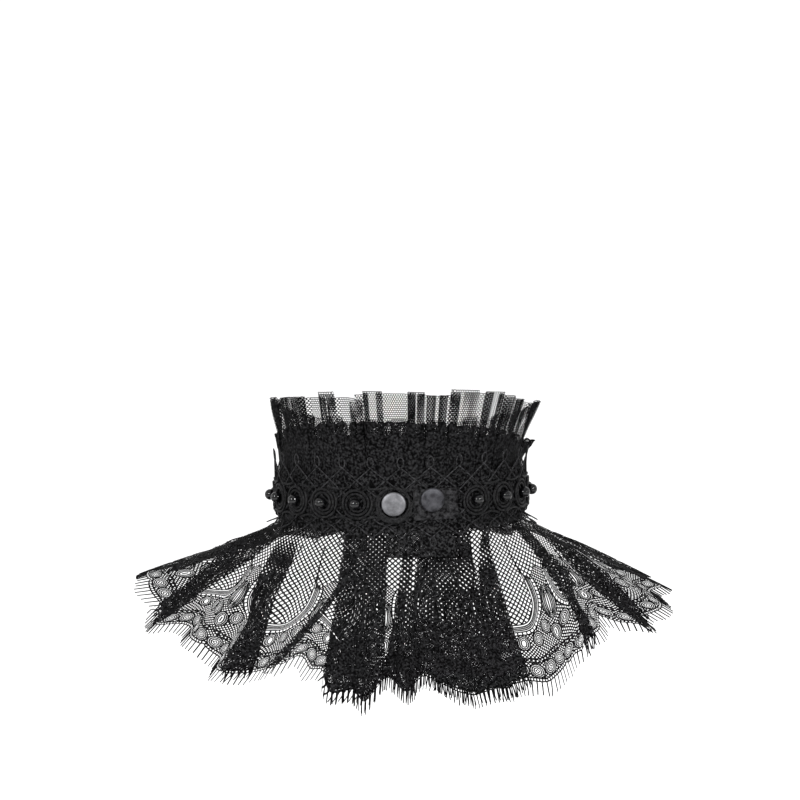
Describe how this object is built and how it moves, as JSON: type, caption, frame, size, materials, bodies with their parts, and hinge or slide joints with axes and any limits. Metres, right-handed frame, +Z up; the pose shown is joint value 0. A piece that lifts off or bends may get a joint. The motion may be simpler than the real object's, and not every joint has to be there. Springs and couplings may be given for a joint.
{
  "type": "ruffled lace collar",
  "caption": "High lace collar in its worn form, with standing net and lace ruffles, a beaded gimp braid, a snap closure and a wide hanging lace with an eyelash fringe.",
  "frame": {"origin": "middle of the neck opening, at the height of the rosettes at the back, where the collar sits on a neck", "axes": "+Z up along the neck, -Y towards the snap closure at the wearer's back, +Y towards the throat, +X to the wearer's right as the closure is looked at"},
  "size_m": [0.2871, 0.2682, 0.1578],
  "materials": {
    "woven": "matte woven ribbon",
    "net": "open hexagonal net",
    "lace": "openwork lace",
    "guipure": "corded lace",
    "gimp": "twisted cord with a slight sheen",
    "bead": "polished",
    "snap_cap": "satin gunmetal",
    "snap_stud": "plain"
  },
  "bodies": {
    "root": {"neck_band": "woven", "closure_tab": "woven", "net_ruffle": "net", "standing_lace_ruffle": "lace", "hanging_lace_ruffle": "lace", "eyelash_fringe": "lace", "guipure_band": "guipure", "gimp_braid": "gimp", "bead_01": "bead", "bead_02": "bead", "bead_03": "bead", "bead_04": "bead", "bead_05": "bead", "bead_06": "bead", "bead_07": "bead", "bead_08": "bead", "bead_09": "bead", "bead_10": "bead", "bead_11": "bead", "bead_12": "bead", "bead_13": "bead", "bead_14": "bead", "bead_15": "bead", "bead_16": "bead", "bead_17": "bead", "bead_18": "bead", "bead_19": "bead", "snap_cap_left": "snap_cap", "snap_stud_left": "snap_stud", "snap_cap_right": "snap_cap", "snap_stud_right": "snap_stud"}
  },
  "joints": []
}
